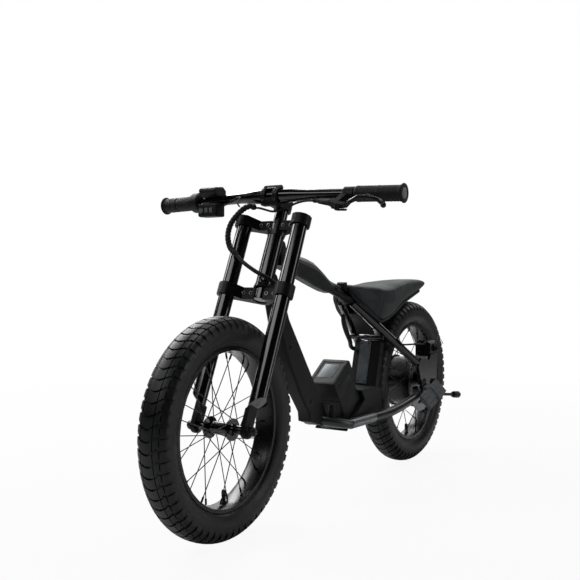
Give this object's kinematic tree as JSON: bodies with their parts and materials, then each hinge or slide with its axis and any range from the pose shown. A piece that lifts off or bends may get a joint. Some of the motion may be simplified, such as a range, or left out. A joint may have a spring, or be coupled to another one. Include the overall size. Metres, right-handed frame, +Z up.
{
  "type": "electric balance bike",
  "caption": "Child's electric balance bike: double-crown fork, block-tread wheels, rear hub motor, long padded seat, lift-out battery, folding footrests and hand brake.",
  "frame": {"origin": "on the ground, half way between the two wheel axles, in the bike's middle plane", "axes": "+X forward, +Y to the rider's left, +Z up"},
  "size_m": [1.2804, 0.6032, 0.7082],
  "materials": {
    "anodised": "black anodised, satin",
    "brushed_cover": "grey brushed aluminium",
    "dark_steel": "dark zinc-plated steel",
    "gloss_black": "gloss black paint over metal",
    "grey_plastic": "dark grey moulded nylon",
    "plastic": "fine-grained black plastic",
    "satin_black": "satin black powder coat",
    "soft_rubber": "matt black moulded rubber",
    "steel": "ground stainless steel",
    "tread_rubber": "matt black tyre rubber",
    "vinyl": "dark grey grained vinyl"
  },
  "bodies": {
    "frame": {"battery_dock": "plastic", "brake_caliper": "anodised", "caliper_cable": "soft_rubber", "controller_case": "satin_black", "controller_cover": "brushed_cover", "cradle_left": "satin_black", "cradle_right": "satin_black", "down_tube": "satin_black", "dropout_left": "satin_black", "dropout_right": "satin_black", "harness": "soft_rubber", "head_tube": "satin_black", "headset_lower": "anodised", "headset_upper": "anodised", "main_beam": "satin_black", "motor_loom": "soft_rubber", "motor_stator": "dark_steel", "rail_bridge": "satin_black", "rail_left": "gloss_black", "rail_right": "gloss_black", "rear_axle": "dark_steel", "seat_cushion": "vinyl", "seat_pan": "plastic", "splash_guard": "plastic", "tank_pad": "plastic"},
    "front_wheel": {"front_tyre": "tread_rubber", "front_rim": "anodised", "front_hub": "gloss_black"},
    "rear_wheel": {"rear_tyre": "tread_rubber", "rear_rim": "anodised", "rear_hub": "gloss_black", "brake_rotor": "steel"},
    "steering": {"fork_leg_left": "gloss_black", "fork_leg_right": "gloss_black", "fork_foot_left": "satin_black", "fork_foot_right": "satin_black", "front_axle": "dark_steel", "upper_crown": "gloss_black", "lower_crown": "gloss_black", "steerer": "gloss_black", "stem": "satin_black", "stem_faceplate": "satin_black", "handlebar": "gloss_black", "grip_left": "soft_rubber", "grip_right": "soft_rubber", "throttle_housing": "plastic", "display": "plastic", "switch_box": "plastic", "brake_lever_body": "satin_black", "lever_cable": "soft_rubber", "display_cable": "soft_rubber"},
    "throttle": {"throttle_sleeve": "soft_rubber"},
    "button": {"power_button": "grey_plastic"},
    "lever": {"brake_lever": "anodised"},
    "battery": {"battery_case": "plastic", "battery_cap": "plastic"},
    "caliper_arm": {"caliper_arm": "dark_steel"},
    "kickstand": {"kickstand": "satin_black"},
    "footrest_left": {"footrest_left": "grey_plastic"},
    "footrest_right": {"footrest_right": "grey_plastic"}
  },
  "joints": [
    {"name": "steer", "type": "hinge", "parent": "frame", "child": "steering", "pos_m": [0.29156, 0, 0.45003], "axis": [-0.4172, 0, 0.9088], "range_deg": [-35, 35], "deforming": ["harness"]},
    {"name": "front_wheel_spin", "type": "hinge", "parent": "steering", "child": "front_wheel", "pos_m": [0.42198, 0, 0.2182], "axis": [0, 1, 0], "continuous": true},
    {"name": "rear_wheel_spin", "type": "hinge", "parent": "frame", "child": "rear_wheel", "pos_m": [-0.42198, 0, 0.2182], "axis": [0, 1, 0], "continuous": true},
    {"name": "throttle_turn", "type": "hinge", "parent": "steering", "child": "throttle", "pos_m": [0.22976, -0.2149, 0.6756], "axis": [-0.0358, -0.9989, -0.0313], "range_deg": [0, 70], "stiffness_Nm_per_rad": 0.15, "springref_deg": -17.19},
    {"name": "power_press", "type": "slide", "parent": "steering", "child": "button", "axis": [-1, 0, 0], "range_m": [0, 0.0015], "stiffness_N_per_m": 400, "springref_m": -0.001},
    {"name": "lever_pull", "type": "hinge", "parent": "steering", "child": "lever", "pos_m": [0.2649, 0.182, 0.6491], "axis": [0, 0, 1], "range_deg": [0, 17], "stiffness_Nm_per_rad": 0.6, "springref_deg": -17.19},
    {"name": "caliper_pull", "type": "hinge", "parent": "frame", "child": "caliper_arm", "pos_m": [-0.42798, 0.0845, 0.3112], "axis": [0, 1, 0], "range_deg": [0, 17], "stiffness_Nm_per_rad": 0.3, "springref_deg": -17.19},
    {"name": "battery_lift", "type": "slide", "parent": "frame", "child": "battery", "axis": [0.5534, 0, 0.8329], "range_m": [0, 0.12]},
    {"name": "kickstand_fold", "type": "hinge", "parent": "frame", "child": "kickstand", "pos_m": [-0.38798, 0.0855, 0.1912], "axis": [0, -1, 0], "range_deg": [0, 85]},
    {"name": "footrest_left_fold", "type": "hinge", "parent": "frame", "child": "footrest_left", "pos_m": [-0.34748, 0.0968, 0.2152], "axis": [0.9455, 0, -0.3256], "range_deg": [0, 55]},
    {"name": "footrest_right_fold", "type": "hinge", "parent": "frame", "child": "footrest_right", "pos_m": [-0.34748, -0.0968, 0.2152], "axis": [-0.9455, 0, 0.3256], "range_deg": [0, 55]}
  ],
  "couplings": [
    {"joint": "caliper_pull", "follows": "lever_pull", "ratio": 1}
  ]
}
